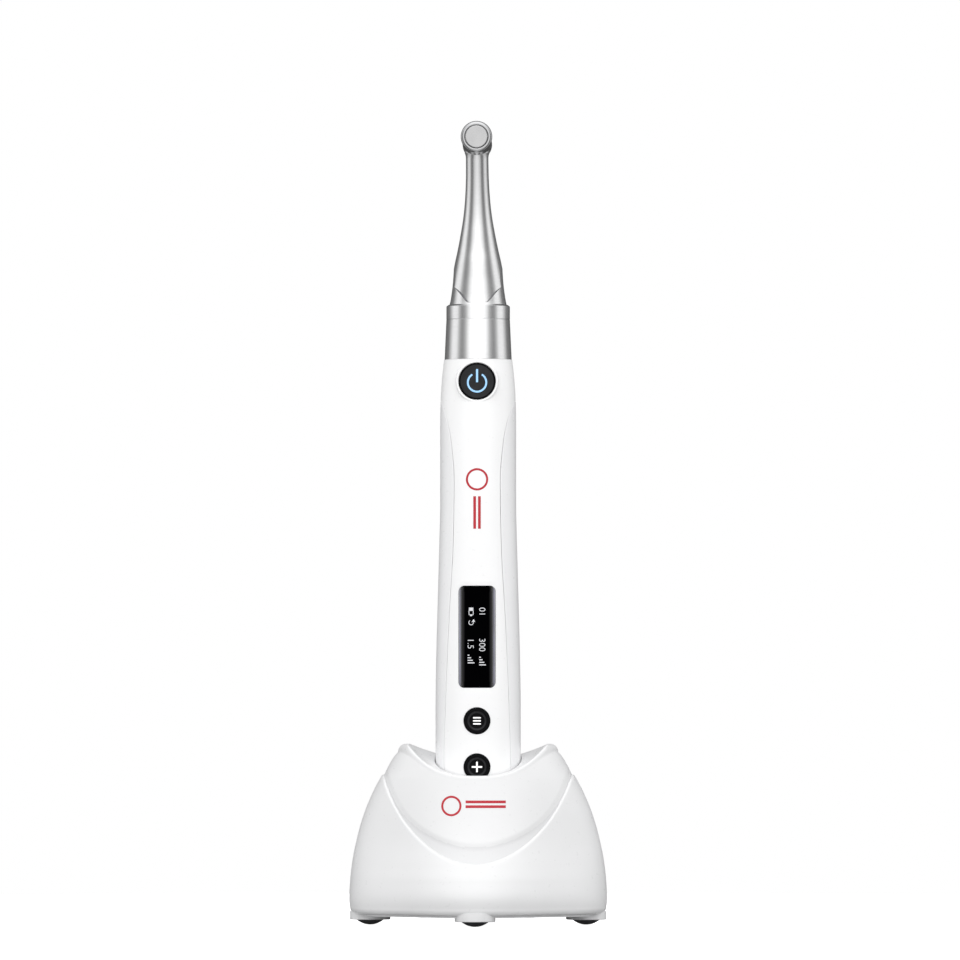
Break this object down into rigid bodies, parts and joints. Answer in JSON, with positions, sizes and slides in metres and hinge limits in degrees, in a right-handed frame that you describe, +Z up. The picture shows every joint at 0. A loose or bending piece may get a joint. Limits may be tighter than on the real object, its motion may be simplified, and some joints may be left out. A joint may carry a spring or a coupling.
{
  "type": "endodontic motor",
  "caption": "Cordless endodontic motor: handle with display and buttons, contra-angle head that swivels and pulls off, and charging stand.",
  "frame": {"origin": "on the table, under the middle of the charging stand", "axes": "+Z up along the handle's axis; -Y is the side with the display and the buttons; +X is to the right for a person who faces the display"},
  "size_m": [0.0764, 0.0711, 0.2372],
  "materials": {
    "white_plastic": "white moulded plastic with a soft gloss",
    "satin_metal": "satin stainless steel",
    "bright_metal": "polished steel",
    "button_metal": "matt light grey metal",
    "black_plastic": "black button plastic",
    "black_window": "black tinted window",
    "foot_rubber": "dark rubber",
    "steel": "machined steel",
    "contact_brass": "gold-plated contact",
    "board": "circuit board",
    "cell_wrap": "shrink-wrapped battery cell",
    "dark_polymer": "dark moulded polymer"
  },
  "bodies": {
    "stand": {"base_shell": "white_plastic", "cradle": "white_plastic", "bottom_plate": "white_plastic", "foot_left": "foot_rubber", "foot_right": "foot_rubber", "foot_front": "foot_rubber", "foot_back": "foot_rubber", "ballast_plate": "steel", "base_screw_front_left": "steel", "base_screw_front_right": "steel", "base_screw_back_left": "steel", "base_screw_back_right": "steel", "charge_board": "board", "power_inlet": "dark_polymer"},
    "pin_left": {"charge_pin_left": "contact_brass"},
    "pin_right": {"charge_pin_right": "contact_brass"},
    "handpiece": {"front_cover": "white_plastic", "rear_shell": "white_plastic", "end_cap": "white_plastic", "charge_contact_left": "contact_brass", "charge_contact_right": "contact_brass", "display_window": "black_window", "display_module": "dark_polymer", "circuit_board": "board", "battery_cell": "cell_wrap", "program_switch": "dark_polymer", "plus_switch": "dark_polymer", "minus_switch": "dark_polymer", "power_switch": "dark_polymer", "motor_can": "steel", "motor_nose": "bright_metal", "nose_seal_ring": "foot_rubber"},
    "program_key": {"program_button": "black_plastic"},
    "plus_key": {"plus_button": "black_plastic"},
    "minus_key": {"minus_button": "black_plastic"},
    "power_key": {"power_button": "black_plastic"},
    "rotor": {"motor_rotor": "steel"},
    "coupling": {"coupling_bush": "dark_polymer"},
    "contra_angle": {"sleeve": "satin_metal", "collar_ring": "satin_metal", "neck_shell": "satin_metal", "head_cap_ring": "bright_metal", "button_spring_washer": "steel", "button_side_bearing": "steel", "chuck_side_bearing": "steel", "neck_front_bearing": "steel", "neck_rear_bearing": "steel", "rear_shaft_bearing": "steel"},
    "drive_shaft": {"rear_shaft": "steel"},
    "neck_drive": {"neck_shaft": "steel"},
    "chuck": {"spindle": "steel"},
    "head_key": {"head_push_button": "button_metal"}
  },
  "joints": [
    {"name": "handpiece_lift", "type": "slide", "parent": "stand", "child": "handpiece", "axis": [0, 0, 1], "range_m": [0, 0.045]},
    {"name": "charge_pin_left_press", "type": "slide", "parent": "stand", "child": "pin_left", "axis": [0, 0, -1], "range_m": [0, 0.0008], "stiffness_N_per_m": 150},
    {"name": "charge_pin_right_press", "type": "slide", "parent": "stand", "child": "pin_right", "axis": [0, 0, -1], "range_m": [0, 0.0008], "stiffness_N_per_m": 150},
    {"name": "program_press", "type": "slide", "parent": "handpiece", "child": "program_key", "axis": [0, 1, 0], "range_m": [0, 0.0005], "stiffness_N_per_m": 300},
    {"name": "plus_press", "type": "slide", "parent": "handpiece", "child": "plus_key", "axis": [0, 1, 0], "range_m": [0, 0.0005], "stiffness_N_per_m": 300},
    {"name": "minus_press", "type": "slide", "parent": "handpiece", "child": "minus_key", "axis": [0, 1, 0], "range_m": [0, 0.0005], "stiffness_N_per_m": 300},
    {"name": "power_press", "type": "slide", "parent": "handpiece", "child": "power_key", "axis": [0, 1, 0], "range_m": [0, 0.0004], "stiffness_N_per_m": 300},
    {"name": "motor_spin", "type": "hinge", "parent": "handpiece", "child": "rotor", "pos_m": [0, 0, 0.13], "axis": [0, 0, 1], "continuous": true},
    {"name": "contra_angle_pull", "type": "slide", "parent": "handpiece", "child": "coupling", "axis": [0, 0, 1], "range_m": [0, 0.02]},
    {"name": "head_swivel", "type": "hinge", "parent": "coupling", "child": "contra_angle", "pos_m": [0, 0, 0.175], "axis": [0, 0, 1], "continuous": true},
    {"name": "drive_shaft_spin", "type": "hinge", "parent": "contra_angle", "child": "drive_shaft", "pos_m": [0, 0, 0.18], "axis": [0, 0, 1], "continuous": true},
    {"name": "neck_shaft_spin", "type": "hinge", "parent": "contra_angle", "child": "neck_drive", "pos_m": [0, 0, 0.187], "axis": [0, -0.2419, 0.9703], "continuous": true},
    {"name": "spindle_spin", "type": "hinge", "parent": "contra_angle", "child": "chuck", "pos_m": [0, -0.01137, 0.2326], "axis": [0, 1, 0], "continuous": true},
    {"name": "head_button_press", "type": "slide", "parent": "contra_angle", "child": "head_key", "axis": [0, 1, 0], "range_m": [0, 0.0006], "stiffness_N_per_m": 400}
  ],
  "couplings": [
    {"joint": "drive_shaft_spin", "follows": "motor_spin", "ratio": 1},
    {"joint": "neck_shaft_spin", "follows": "motor_spin", "ratio": 1},
    {"joint": "spindle_spin", "follows": "motor_spin", "ratio": 1}
  ]
}
